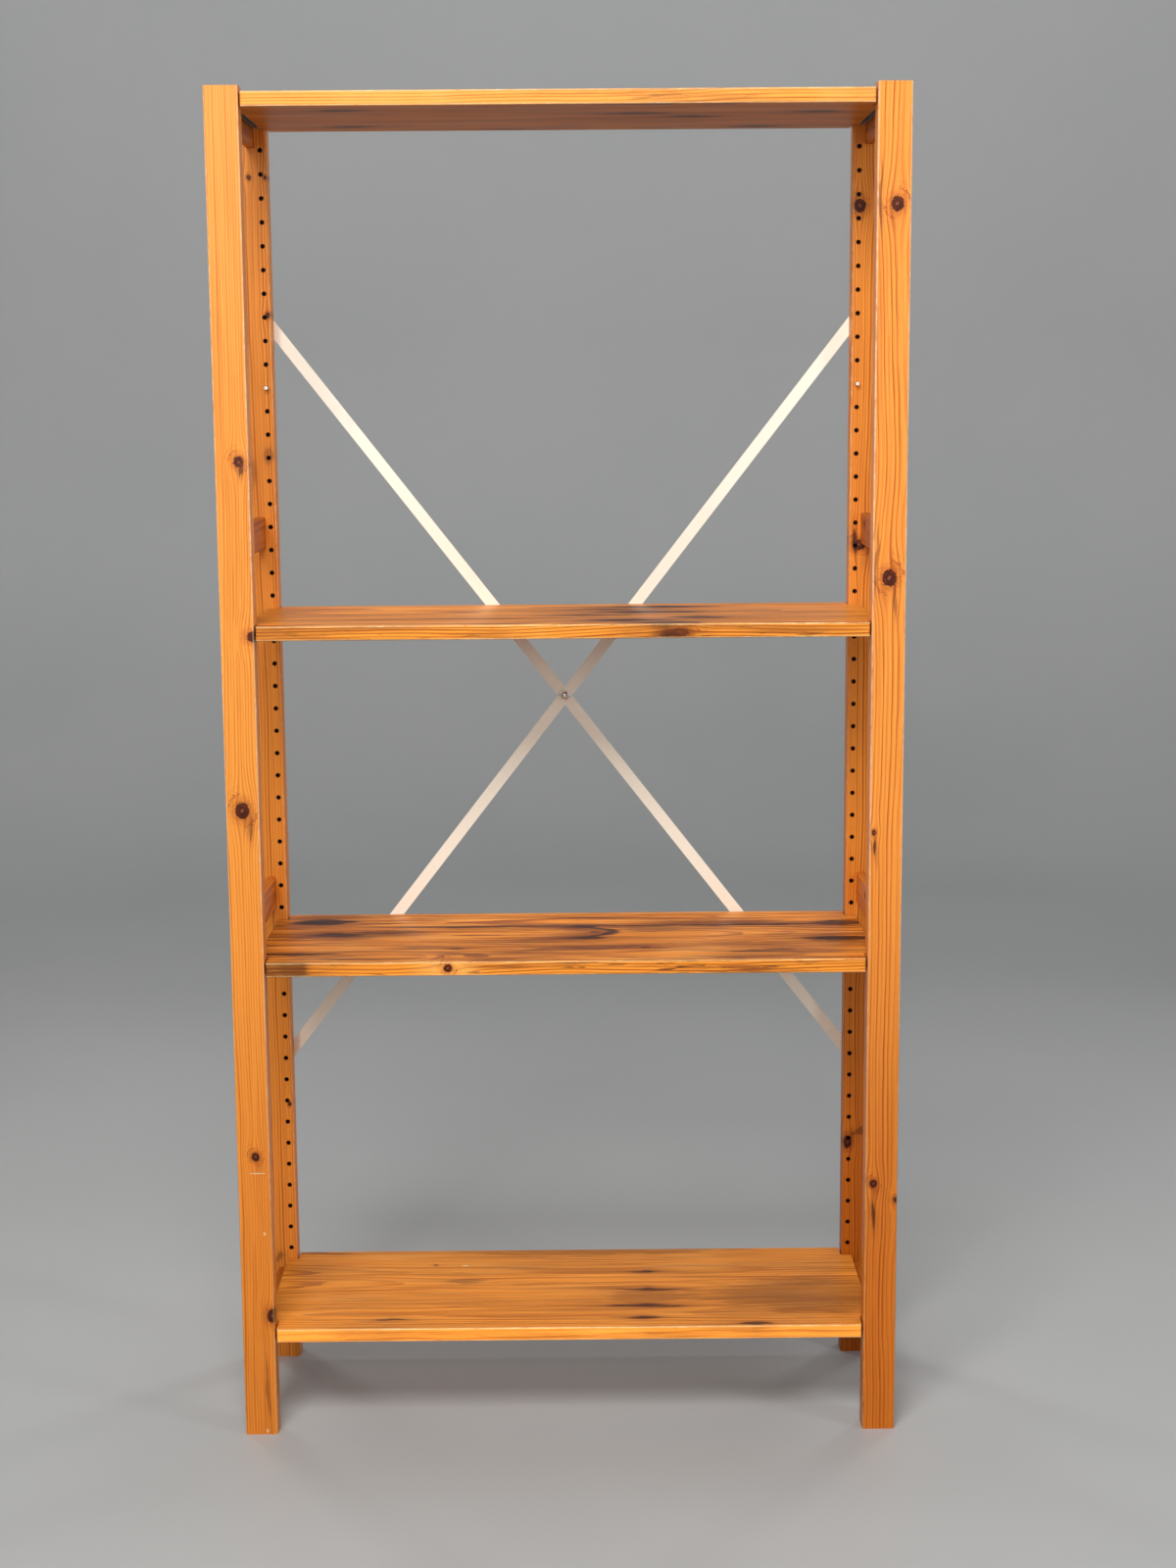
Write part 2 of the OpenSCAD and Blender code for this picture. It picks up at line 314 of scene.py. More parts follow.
class Timber:
    """One piece of timber: where a point of it lies, in mm, and what grew there.

    axes: which of x, y, z run along the grain (u), across the width (v) and through the thickness (w).
    centre, half: middle of the piece across the grain, and half its width and thickness.
    """

    def __init__(self, tree, axes, centre, half, seed):
        position, self.facing = place(tree)
        self.tree, self.axes, self.half, self.seed = tree, axes, half, seed
        self.u = position[axes[0]]
        self.v = position[axes[1]] - centre[0]
        self.w = position[axes[2]] - centre[1]
        self.end_grain = rise(size_of(self.facing[axes[0]]), *FACING)
        self.long_u, self.knots = self.u, []
        self.seam = self.board_tint = self.chipped = None
        u, v, w = self.u, self.v, self.w
        self.ragged = noise(u / 3.0, v / 3.0, w / 3.0 + seed, detail=3.0)
        self.hair = noise(u / 1.1, (v + w) / 6.0, seed)
        self.strand = (noise(u / 46.0, v / 2.6, w / 8.0 + seed, detail=3.0)
                       + noise(u / 60.0, v / 13.0, seed) * 0.65)

    def glue_up(self, pith, width):
        """Cuts the piece into glued boards of one width, each from its own tree."""
        reach, seed = self.half[0] + 0.5, self.seed
        across = (self.v + reach) / width
        which = calc("FLOOR", across)
        pith_v = (which + 0.5) * width - reach + (dice(which, seed) - 0.5) * (width * 1.1)
        side = rise(dice(which, seed + 7.7), 0.49, 0.51) * 2.0 - 1.0
        pith_w = side * (dice(which, seed + 3.1) * 45.0 + pith[1])
        self.long_u = self.u + (dice(which, seed + 5.3) - 0.5) * 3000.0
        inside = (across - which - 0.5) * width
        last = (2 * self.half[0]) / width
        seam = rise(size_of(inside), width * 0.5 - 0.55, width * 0.5 - 0.1) * rise(across, 0.4, 0.6)
        self.seam = seam * rise(across, last - 0.4, last - 0.6)
        self.board_tint = dice(which, seed + 2.2)
        return pith_v, pith_w

    def grow(self, pith, lean, spacing, wander, knots):
        """Rings round a wandering middle, led round each knot, and the fibres drawn out along them."""
        long_u, seed = self.long_u, self.seed
        lead_v, lead_w = self.v, self.w
        texture = (self.ragged, self.hair, self.strand)
        for knot in knots:
            lead_v, lead_w, *masks = use_group(KNOT, self.tree, self.u, lead_v, lead_w, *texture,
                                               *knot.numbers)
            self.knots.append(KnotMasks(*masks))
        drift_v = noise(long_u / 420.0, seed, 1.7, detail=1.0) * wander
        drift_v = drift_v + noise(long_u / 95.0, seed, 5.1, detail=1.0) * 3.0
        drift_w = noise(long_u / 380.0, seed, 8.3, detail=1.0) * wander
        across_v = lead_v - (long_u * lean[0] + pith[0] + drift_v)
        across_w = lead_w - (long_u * lean[1] + pith[1] + drift_w)
        wave = noise(long_u / 150.0, lead_v / 11.0, lead_w / 11.0, detail=2.0) * 2.6
        radius = root(square(across_v) + square(across_w)) + wave
        count = radius / spacing + noise(radius / 17.0, seed, detail=1.0) * 1.6
        year = calc("FLOOR", count)
        season = count - year
        self.lead_v, self.lead_w = lead_v, lead_w
        self.fibre = noise(long_u / 110.0, lead_v / 1.1, lead_w / 1.1, detail=3.0, rough=0.62)
        self.ribbon = noise(long_u / 280.0, lead_v / 3.6, lead_w / 3.6 + seed, detail=2.0)
        self.thread = noise(long_u / 22.0, lead_v / 0.34, lead_w / 0.34, detail=2.0)
        self.cloud = noise(long_u / 230.0, self.v / 34.0, self.w / 34.0, detail=2.0)
        self.canal = rise(noise(long_u / 9.0, lead_v / 0.42, lead_w / 0.42 + 40.0, detail=0.0), 0.22, 0.30)
        self.nick = noise(self.u / 14.0, self.v / 5.0, self.w / 5.0, detail=4.0, rough=0.7)
        late = rise(season, 0.38, 0.90) * rise(season, 1.0, 0.96)
        strength = (dice(year, seed) * 0.75 + 0.30) * (self.fibre * 1.2 + 1.0) * (self.end_grain * 0.7 + 1.0)
        self.late = late * strength

    def faces(self, axis, sign):
        """1 where the surface looks along one of the piece's own axes."""
        return rise(self.facing[self.axes[axis]] * sign, *FACING)


def plain_wood(wood, contrast, deep):
    """Early and late wood, resin in broad clouds, fine dark canals, and late lines browned by deep."""
    grain = wood.late * contrast + wood.fibre * 0.70 + wood.ribbon * 0.70
    grain = grain + wood.thread * 0.20 + wood.cloud * 0.40 + 0.06
    colour = blend(clamp(grain), EARLY, LATE)
    colour = blend(clamp(wood.cloud * 1.6 + wood.fibre * 0.5 + wood.ribbon * 0.6) * 0.34, colour, RESIN)
    if deep:
        colour = blend(wood.late * deep, colour, BROWN)
    patina = noise(wood.long_u / 600.0, wood.v / 200.0, wood.seed, detail=2.0)
    value = wood.cloud * 0.16 + patina * 0.22 - wood.canal * 0.16 + 1.0
    if wood.board_tint is not None:
        value = value + (wood.board_tint - 0.5) * 0.22
    return shade(colour, value)


def add_streaks(wood, colour, amount):
    """Silky pale bands, brown veins and short dark dashes along the grain."""
    u, v, seed = wood.long_u, wood.v, wood.seed
    vein = noise(u / 210.0, wood.lead_v / 5.0, wood.lead_w / 9.0 + 3.0, detail=4.0, rough=0.62)
    patch = noise(u / 260.0, v / 45.0, seed + 2.0, detail=1.0)
    shimmer = noise(u / 150.0, v / 17.0, seed + 11.0, detail=2.0)
    dash = noise(u / 40.0, wood.lead_v / 2.1, wood.lead_w / 4.0 + 9.0, detail=2.0)
    colour = blend(rise(shimmer, 0.02, 0.24) * amount * 0.46, colour, PALE)
    colour = blend(rise(vein + patch * 0.6, -0.06, 0.20) * amount, colour, BROWN)
    dashes = rise(dash + patch * 0.3, 0.17 - amount * 0.07, 0.28 - amount * 0.05)
    return blend(dashes * amount * 0.75, colour, STAIN)


def add_knots(wood, colour):
    for knot in wood.knots:
        colour = blend(knot.halo * 0.55, colour, RESIN)
        colour = blend(knot.curl * 0.80, colour, RED)
        colour = blend(knot.streak * 0.85, colour, STAIN)
        colour = blend(knot.fringe * 0.30, colour, KNOT_DARK)
        heart = blend(knot.rings * 0.70 + wood.fibre * 0.8 + wood.ragged * 0.8, KNOT_DARK, KNOT_PALE)
        heart = blend(knot.pip * 0.34, blend(knot.crescent * 0.85, heart, KNOT_DARK), KNOT_PIP)
        colour = blend(knot.core * 0.97, colour, blend(knot.rim * 0.90, heart, KNOT_DARK))
    return colour


def add_flames(wood, colour, stains, hooks, only_below):
    """Dark resin. A stain is (u, v, half length, half width, strength), in mm.

    A hook is (tip, middle, gap, curve, thickness): two flames that meet in a curved end, where the grain
    turned round a branch.
    """
    bent_u = wood.u + noise(wood.u / 42.0, wood.v / 15.0, wood.seed + 6.0, detail=2.0) * 26.0
    bent_v = wood.v + noise(wood.u / 58.0, wood.v / 26.0, wood.seed + 4.0, detail=2.0) * 15.0
    for at_u, at_v, long, wide, strength in stains:
        glow, heart = use_group(STAIN_GROUP, wood.tree, bent_u, bent_v, wood.strand, at_u, at_v, long, wide)
        if only_below:
            strength = rise(wood.w, 3.0, -6.0) * strength
        colour = blend(glow * strength * 0.75, colour, BROWN)
        colour = blend(heart * strength, colour, STAIN)
    for tip, middle, gap, curve, thick in hooks:
        off = bent_v - middle
        behind = tip - bent_u - square(off) / curve
        beside = rise(size_of(off), gap + 6.0, gap - 4.0)
        colour = blend(rise(behind, -16.0, 2.0) * rise(behind, 95.0, 10.0) * beside * 0.72, colour, BROWN)
        line = rise(size_of(behind + wood.strand * thick), thick, thick * 0.3)
        colour = blend(line * beside * 0.88, colour, STAIN)
    return colour


def add_wear(wood, colour, arris_wear_and_highlight, chips):
    """Rubbed and bumped arrises, and edges lightened partly as a painted highlight. A chip, down to the bare
    wood, is (u, v, w, half length, half width).
    """
    edge = larger(wood.half[0] - size_of(wood.v), wood.half[1] - size_of(wood.w))
    arris = rise(edge, 2.6, 0.9)
    wood.rubbed = arris * rise(wood.nick + wood.cloud * 0.4, 0.02, 0.16)
    colour = blend(wood.rubbed * 0.40, colour, RAW)
    # edges lightened towards bare wood: partly wear, partly a painted highlight
    if arris_wear_and_highlight:
        bright = rise(edge, 2.4, 1.4) * (wood.nick * 1.5 + wood.cloud + 0.8) * arris_wear_and_highlight
        colour = blend(bright, colour, RAW)
    colour = blend(arris * rise(wood.nick, -0.10, -0.22) * 0.55, colour, RESIN)
    for at_u, at_v, at_w, long, wide in chips:
        gap = square(wood.u - at_u) / long**2 + square(wood.v - at_v) / wide**2
        gap = gap + square(wood.w - at_w) / wide**2
        mask = rise(root(gap) + wood.nick * 0.9, 1.0, 0.75)
        wood.chipped = mask if wood.chipped is None else larger(wood.chipped, mask)
    if wood.chipped is not None:
        colour = blend(wood.chipped * 0.72, colour, RAW)
    return colour


def add_holes(wood, colour, holes):
    """Drilled rows: the inside of each hole painted near black as painted shade, and the mouth of each hole a
    little crushed and grimy.
    """
    above = wood.u - (holes.first - holes.pitch / 2.0)
    step = calc("MODULO", above + holes.pitch * 10.0, holes.pitch) - holes.pitch / 2.0
    ring = root(square(step) + square(size_of(wood.v) - holes.column))
    top = holes.count * holes.pitch
    in_rows = rise(above, -0.1, 0.1) * rise(above, top + 0.1, top - 0.1)
    into = wood.half[1] - wood.w * holes.side
    mouth = rise(ring + wood.nick * 1.4, holes.radius + 1.1, holes.radius - 0.1) * rise(into, 0.3, 0.1)
    # painted shade: the inside of each hole painted near black, as the shade in the recess
    wall = rise(ring, holes.radius + 0.45, holes.radius + 0.25)
    wall = wall * rise(into, 0.15, 0.45) * rise(into, 14.0, 13.5)
    colour = blend(mouth * in_rows * 0.60, colour, KNOT_DARK)
    return blend(wall * in_rows * 0.94, colour, PAINTED_HOLE_SHADE)


def relief(wood):
    """The bump of the grain, knots, chips and glue lines."""
    height = wood.late * 0.30 + wood.fibre * 0.9 + wood.thread * 0.4 + wood.cloud * 2.2
    for knot in wood.knots:
        height = height + knot.core * 0.8 + knot.rim * knot.rings * 0.5
    if wood.chipped is not None:
        height = height - wood.chipped * 4.0
    if wood.seam is not None:
        height = height - wood.seam * 1.2
    return height


def pine(name, axes, centre, half, pith, lean=(0.0, 0.0), spacing=4.2, wander=14.0, contrast=1.0, deep=0.0,
         boards=None, streaky=0.0, knots=(), stains=(), stains_below=False, hooks=(), chips=(),
         arris_wear_and_highlight=0.0, holes=None, painted_front_light=0.0, painted_underside_shade=None, tone=None, painted_length_light=None, gloss=0.24,
         seed=0.0):
    """Lacquered pine. axes, centre and half are as in Timber.

    pith, lean: where the tree's middle lies across the piece, in mm, and how it drifts along the grain.
    spacing, wander: how far apart the rings are, and how far the middle strays, in mm.
    contrast, deep: how strongly the late wood shows, and how far it is browned.
    boards: width of each glued board, where the piece is glued up from several.
    streaky: amount of pale bands, brown veins and dashes.
    knots, stains, hooks, chips: what marks it, as in Knot, add_flames and add_wear. stains_below keeps the
    dark resin to the underside.
    arris_wear_and_highlight: how much the edges are lightened, partly bare wood and partly a painted
    highlight. holes: its drilled rows.
    painted_front_light, below, tone: the front face lightened or darkened as painted light, a colour that
    multiplies the underside as painted shade, and a colour that multiplies the whole.
    faded: colours that multiply the lower end and the upper end, painted light and shade along the piece.
    gloss: the shader's specular level.
    """
    material, tree = new_material(name)
    wood = Timber(tree, axes, centre, half, seed)
    if boards:
        pith = wood.glue_up(pith, boards)
    wood.grow(pith, lean, spacing, wander, knots)
    colour = plain_wood(wood, contrast, deep)
    if streaky:
        colour = add_streaks(wood, colour, streaky)
    colour = add_knots(wood, colour)
    colour = add_flames(wood, colour, stains, hooks, stains_below)
    colour = add_wear(wood, colour, arris_wear_and_highlight, chips)
    if wood.seam is not None:
        colour = shade(colour, 1.0 - wood.seam * 0.42)
    if holes:
        colour = add_holes(wood, colour, holes)
    colour = shade(colour, 1.0 - wood.end_grain * 0.30)
    # painted light: the face looking to the front is lightened, or darkened where the gain is below zero
    if painted_front_light:
        colour = shade(colour, wood.faces(1, -1.0) * painted_front_light + 1.0)
    # painted shade: the faces looking down are darkened
    if painted_underside_shade:
        colour = blend(wood.faces(2, -1.0), colour, tint(colour, painted_underside_shade))
    if tone:
        colour = tint(colour, tone)
    if painted_length_light:
        # painted light and shade along the piece: the lower end darker and deeper in colour than the upper
        # end, for light that falls off towards the floor, and the rear posts darker all along, for the shade
        # under the shelves
        colour = tint(colour, blend(rise(wood.u, 100.0, 1050.0), *painted_length_light))
    rough = wood.fibre * 0.16 + wood.cloud * 0.22 + wood.rubbed * 0.16 + wood.end_grain * 0.25 + 0.41
    surface(tree, colour, rough - wood.late * 0.05, relief(wood), depth=0.07, Coat_Weight=0.03,
            Coat_Roughness=0.20, IOR=1.40, Specular_IOR_Level=gloss)
    return material


# ---------------------------------------------------------------- metal and paint


def zinc(name, base, spangle, rough, seed):
    """Zinc-plated steel: soft crystals of spangle mm, and a few dull, darker patches."""
    material, tree = new_material(name)
    (x, y, z), _ = place(tree)
    crystal = noise(x / spangle, y / spangle, z / spangle + seed, detail=1.0)
    dull = noise(x / 9.0, y / 9.0, z / 9.0 + seed, detail=3.0)
    brush = noise(x / 0.5, y / 14.0, z / 0.5 + seed, detail=2.0)
    tarnished = tuple(channel * 0.62 for channel in base)
    colour = shade(blend(clamp(dull * 1.4 + 0.35), base, tarnished), crystal * 0.5 + 1.0)
    surface(tree, colour, dull * 0.25 + crystal * 0.20 + rough, brush + crystal, depth=0.03, Metallic=1.0)
    return material


PAINT_GRIME = (0.50, 0.42, 0.30)
PAINT_SCRATCH = (0.45, 0.42, 0.38)
BARE_STEEL = (0.20, 0.19, 0.18)
SCREW_HEAD_RADIUS = 4.0


def enamel(name, base, seed):
    """Cream paint on a steel strip: faint waves, handling marks, scratches, chips at the edges and screws."""
    material, tree = new_material(name)
    (x, y, z), _ = place(tree)
    wave = noise(x / 5.0, y / 5.0, z / 5.0 + seed, detail=2.0)
    peel = noise(x / 0.8, y / 0.8, z / 0.8 + seed, detail=1.0)
    grime = noise(x / 60.0, y / 60.0, z / 90.0 + seed, detail=4.0, rough=0.65)
    scratch = noise(x / 26.0 + z / 1.3, z / 26.0 - x / 1.3, seed, detail=1.0)
    chips = noise(x / 2.6, y / 2.6, z / 2.6 + seed, detail=4.0, rough=0.7)
    colour = blend(rise(grime, 0.0, 0.30) * 0.30, base, PAINT_GRIME)
    colour = blend(rise(scratch, 0.30, 0.36) * 0.35, colour, PAINT_SCRATCH)
    low, high = [[number / MM for number in corner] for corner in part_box("brace_screws")]
    lower_z, upper_z = low[2] + SCREW_HEAD_RADIUS, high[2] - SCREW_HEAD_RADIUS
    screw_x = high[0] - SCREW_HEAD_RADIUS
    rivet_z = sum(corner[2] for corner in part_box("brace_rivet")) / 2.0 / MM
    to_screw = size_of(size_of(x) - screw_x) + smaller(size_of(z - lower_z), size_of(z - upper_z))
    to_rivet = root(square(x) + square(z - rivet_z))
    worn = larger(rise(to_screw, 16.0, 7.0), rise(to_rivet, 11.0, 6.0)) * rise(chips, -0.02, 0.10)
    worn = larger(worn, rise(chips, 0.27, 0.30))
    colour = blend(worn * 0.8, colour, BARE_STEEL)
    surface(tree, colour, grime * 0.25 + worn * 0.2 + 0.34, wave * 1.5 + peel * 0.4 - worn * 2.0, depth=0.05,
            Coat_Weight=0.15, Coat_Roughness=0.15)
    return material


# ---------------------------------------------------------------- which piece gets what


def dress(name, material):
    NODES[name].material_slots[0].material = material


def across(name, axes):
    """Middle and half size of a node, in mm, along the two axes that cross its grain."""
    low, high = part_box(name)
    centre = [(low[axis] + high[axis]) / 2.0 / MM for axis in axes[1:]]
    half = [(high[axis] - low[axis]) / 2.0 / MM for axis in axes[1:]]
    return centre, half


# which of x, y, z run along the grain, across the width and through the thickness
UPRIGHT, RUNG_WAY, SHELF_WAY = (2, 0, 1), (1, 2, 0), (0, 1, 2)

# the drilled rows, in mm: height of the first, how many, how far apart, and how far off the post's middle
HOLE_GRID = dict(first=105.0, count=53, pitch=32.0, column=13.5, radius=3.05)
# lengths in these tables are in mm from the middle of the piece, or above the floor along a post
POSTS = {
    "left_front_post": dict(
        pith=(-74.0, 22.0), lean=(0.006, 0.0), spacing=3.3, wander=12.0, contrast=0.70, deep=0.05,
        arris_wear_and_highlight=0.40, seed=1.3, painted_length_light=((0.84, 0.75, 0.58), (0.98, 1.04, 1.15)),
        knots=[Knot(1323, 9, 6.5, sweep=1), Knot(1098, 22, 6.5, w=-16, lean=-45, deep=12),
               Knot(869, 0, 9.3, tall=1.2, sweep=1), Knot(396, 3, 5.6, sweep=1),
               Knot(171, 19, 6.0, w=-16, lean=-30, deep=14, tall=1.7)],
        stains=[(846, 9, 20, 3.0, 0.45), (1313, 13, 10, 2.5, 0.7), (60, 10, 60, 2.0, 0.35)],
        chips=[(288, 12, -16, 3.2, 2.2), (5, 8, -16, 3.5, 2.5), (612, 22, -14, 5.0, 1.6),
               (373, 5, -16, 1.2, 13.0), (1003, 22, -15, 9.0, 1.4), (520, -22, -15, 5.0, 1.5),
               (780, -22, -15, 3.0, 1.3)]),
    "right_front_post": dict(
        pith=(58.0, 44.0), lean=(-0.007, 0.004), spacing=3.7, wander=22.0, contrast=0.95, deep=0.16,
        arris_wear_and_highlight=0.55, seed=4.6, painted_length_light=((0.69, 0.53, 0.32), (1.02, 1.04, 1.19)),
        knots=[Knot(1640, 4, 8.3, sweep=-1), Knot(1168, 0, 9.6, sweep=-1), Knot(833, -16, 3.0, tall=1.5),
               Knot(351, -11, 5.2, sweep=1), Knot(328, 21, 4.0, w=-15, lean=40, deep=10)],
        stains=[(812, -14, 18, 2.2, 0.85), (306, -9, 24, 2.6, 0.75), (1650, -16, 70, 1.8, 0.45),
                (1190, -15, 60, 2.0, 0.45), (1140, 8, 30, 2.0, 0.40)],
        chips=[(160, -21, -15, 6.0, 1.5), (125, -21, -15, 4.0, 1.5), (960, 21, -15, 5.0, 1.2)]),
    "left_rear_post": dict(
        pith=(-60.0, -40.0), lean=(-0.008, 0.0), spacing=4.0, wander=16.0, contrast=0.9, deep=0.10,
        arris_wear_and_highlight=0.22, seed=7.9, painted_length_light=((0.92, 0.88, 0.78), (0.91, 0.90, 0.85)),
        knots=[Knot(1701, -3, 3.0), Knot(1701, 19.5, 2.6), Knot(1516, 18, 3.6), Knot(388, 17, 2.6, tall=1.4)],
        stains=[(156, -4, 9, 8.0, 0.40), (1322, 14, 16, 5.0, 0.35), (1300, -8, 24, 4.0, 0.30)]),
    "right_rear_post": dict(
        pith=(52.0, -26.0), lean=(0.008, 0.004), spacing=3.8, wander=18.0, contrast=1.0, deep=0.18,
        arris_wear_and_highlight=0.22, seed=2.4, painted_length_light=((0.46, 0.31, 0.08), (0.86, 0.83, 0.74)),
        knots=[Knot(1658, -12, 8.3), Knot(1194, -8, 9.0, tall=0.85, sweep=1),
               Knot(323, -15.5, 6.5, tall=1.5)],
        stains=[(1200, -14, 16, 5.0, 0.8), (336, 4, 8, 14.0, 0.45)]),
}
for name, look in POSTS.items():
    holes = HoleRows(**HOLE_GRID, side=1.0 if "front" in name else -1.0)
    dress(name, pine(name + "_pine", UPRIGHT, *across(name, UPRIGHT), holes=holes, **look))

# painted shade: the rung tones darken the rungs for the shade between the front and rear posts, the lower
# rungs less
RUNG_TONE, LOWER_RUNG_TONE = (0.56, 0.44, 0.32), (0.74, 0.60, 0.46)
for index, level in enumerate(("bottom", "lower", "upper", "top")):
    for side_name, side in (("left", -1.0), ("right", 1.0)):
        name = f"{side_name}_{level}_rung"
        dress(name, pine(
            name + "_pine", RUNG_WAY, *across(name, RUNG_WAY), pith=(6.0 * side, 34.0 + 6.0 * index),
            lean=(0.02, 0.01), spacing=4.6, seed=20.0 + 3.7 * index + (1.9 if side > 0 else 0.0),
            tone=LOWER_RUNG_TONE if level == "lower" else RUNG_TONE,
            knots=[Knot(-40 + 55 * index * side, 8 * side, 3.5 + index)]))

SHELVES = {
    "bottom": dict(
        pith=(0.0, 48.0), seed=31.0, contrast=0.72, streaky=0.40, deep=0.18, tone=(0.93, 0.96, 0.86),
        painted_front_light=0.52,
        knots=[Knot(112, 57, 3.6, tail=34.0, tall=1.9), Knot(112, -12, 5.2, tail=60.0, tall=2.0),
               Knot(108, -72, 5.6, tail=70.0, tall=2.0), Knot(104, -116, 4.4, tail=30.0, tall=2.3)],
        stains=[(112, -12, 66, 5.0, 0.75), (108, -74, 76, 5.0, 0.75), (114, 56, 26, 4.0, 0.6),
                (104, -117, 30, 4.5, 0.7), (-250, -116, 32, 4.0, 0.8), (255, -142, 30, 4.5, 0.8),
                (-380, 140, 90, 3.5, 0.5), (-195, 88, 6, 3.0, 0.8), (-150, 24, 36, 11.0, 0.34),
                (105, -40, 60, 34.0, 0.30), (330, -40, 190, 70.0, 0.36), (40, 140, 260, 16.0, 0.34)],
        chips=[(-152, 86, 9.5, 5.0, 3.0)]),
    "lower": dict(
        pith=(0.0, 40.0), seed=47.0, contrast=1.25, streaky=1.00, deep=0.60, tone=(1.03, 1.03, 0.83),
        painted_front_light=0.06,
        knots=[Knot(-157, -149, 5.5, w=1.0, lean=-90, tall=1.1, deep=40, sweep=-1),
               Knot(108, -74, 4.0, tail=24.0, tall=2.0), Knot(-346, 98, 5.0, tall=1.4),
               Knot(-316, 14, 4.5, tall=1.4), Knot(40, 21, 6.0, tall=1.3), Knot(384, -28, 5.0, tall=1.5)],
        stains=[(-344, 98, 60, 18, 1.0), (-318, 16, 48, 15, 1.0), (392, 68, 56, 17, 1.0),
                (378, -28, 66, 15, 1.0), (-366, -98, 80, 8, 0.92), (-300, -128, 120, 4, 0.6),
                (-385, -150, 56, 7, 0.70), (-150, -70, 18, 7, 0.7), (250, -100, 44, 8, 0.62),
                (290, -92, 30, 6, 0.6), (-60, 62, 320, 6.0, 0.95), (230, 62, 260, 6.0, 0.95),
                (-250, 30, 60, 9, 0.6), (-280, 12, 90, 20, 0.35), (120, 40, 60, 24, 0.35),
                (18, 56, 34, 12, 0.92), (26, -14, 42, 12, 0.92)],
        hooks=[(64.0, 21.0, 36.0, 24.0, 15.0)]),
    # painted light: the upper shelf's tone lightens it for light its top lacks
    "upper": dict(
        pith=(0.0, 44.0), seed=12.0, contrast=1.25, streaky=0.60, deep=0.55, tone=(1.20, 1.24, 1.05),
        painted_front_light=-0.10,
        knots=[Knot(152, -149, 5.6, w=-2.0, lean=-90, tall=2.2, deep=30, sweep=1),
               Knot(126, 92, 5.5, tall=1.3), Knot(88, -96, 5.0, tall=1.4), Knot(118, 18, 6.5, tall=1.3)],
        stains=[(130, 96, 104, 17, 1.0), (120, 20, 110, 18, 1.0), (84, -96, 84, 17, 1.0),
                (136, -132, 60, 14, 0.95), (140, -150, 34, 8, 0.26), (60, 60, 110, 12, 0.8),
                (-120, -60, 200, 6, 0.55), (30, -20, 90, 12, 0.75), (180, -60, 50, 18, 0.85)]),
    "top": dict(
        pith=(0.0, 42.0), seed=63.0, contrast=0.9, streaky=0.40, deep=0.10, tone=(0.98, 1.12, 1.26),
        painted_front_light=0.04, stains_below=True,
        knots=[Knot(-268, -96, 4.0, tail=30.0, tall=1.5)],
        stains=[(-284, -94, 40, 9, 0.85), (-284, 92, 44, 10, 0.85), (100, -44, 60, 10, 0.85),
                (168, -8, 52, 10, 0.85), (266, 114, 60, 10, 0.85), (330, -52, 44, 9, 0.8)]),
}
CHANNEL_STEEL = zinc("galvanised_sheet", (0.46, 0.47, 0.48), spangle=3.5, rough=0.44, seed=3.0)
PIN_STEEL = zinc("plated_pin", (0.90, 0.87, 0.80), spangle=1.2, rough=0.46, seed=9.0)
FASTENER_STEEL = zinc("plated_fastener", (0.60, 0.59, 0.57), spangle=1.0, rough=0.36, seed=15.0)
CREAM = (0.89, 0.84, 0.72)
for level, look in SHELVES.items():
    board = level + "_shelf_board"
    dress(board, pine(
        level + "_shelf_pine", SHELF_WAY, *across(board, SHELF_WAY), boards=99.2, spacing=4.4, wander=22.0,
        lean=(0.0, 0.012), arris_wear_and_highlight=0.45, painted_underside_shade=(0.66, 0.53, 0.27), gloss=0.14, **look))
    dress(level + "_shelf_channels", CHANNEL_STEEL)
    dress(level + "_shelf_pins", PIN_STEEL)
for name in ("left_spare_pin", "right_spare_pin"):
    dress(name, PIN_STEEL)
for name in ("brace_rivet", "brace_screws"):
    dress(name, FASTENER_STEEL)
for index, name in enumerate(("brace_front_bar", "brace_rear_bar")):
    dress(name, enamel(name + "_paint", CREAM, 5.0 * index))

# ---------------------------------------------------------------- clean edges

EASED_WIDTH, JOIN_WITHIN, SAME_POINT = 0.0009, 0.00001, 0.0000001


def modify(name, label, kind, **settings):
    modifier = NODES[name].modifiers.new(label, kind)
    for setting, value in settings.items():
        setattr(modifier, setting, value)


def ease(name, chosen):
    """Softens the sharp CAD edges whose two ends are both chosen. The CAD mesh itself is left as it is."""
    mesh = NODES[name].data
    faces_at = [0] * len(mesh.edges)
    for polygon in mesh.polygons:
        for corner in polygon.loop_indices:
            faces_at[mesh.loops[corner].edge_index] += 1
    weights = mesh.attributes.new("bevel_weight_edge", "FLOAT", "EDGE")
    for edge in mesh.edges:
        if faces_at[edge.index] == 1:
            ends = [mesh.vertices[index].co for index in edge.vertices]
            weights.data[edge.index].value = 1.0 if all(chosen(end) for end in ends) else 0.0
    modify(name, "join", "WELD", merge_threshold=JOIN_WITHIN)
    modify(name, "eased_edges", "BEVEL", limit_method="WEIGHT", width=EASED_WIDTH, segments=2,
           use_clamp_overlap=True)
    modify(name, "even_normals", "WEIGHTED_NORMAL", keep_sharp=True)


def at(value, target, slack=0.00002):
    return abs(value - target) < slack


for name in POSTS:
    low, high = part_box(name)
    ease(name, lambda end: at(end.z, low[2]) or at(end.z, high[2]))

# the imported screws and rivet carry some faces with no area, which a weld takes out
for name in ("brace_screws", "brace_rivet"):
    modify(name, "join", "WELD", merge_threshold=SAME_POINT)
    modify(name, "sharp_edges", "EDGE_SPLIT", split_angle=math.radians(30.0))
    modify(name, "even_normals", "WEIGHTED_NORMAL", keep_sharp=True)

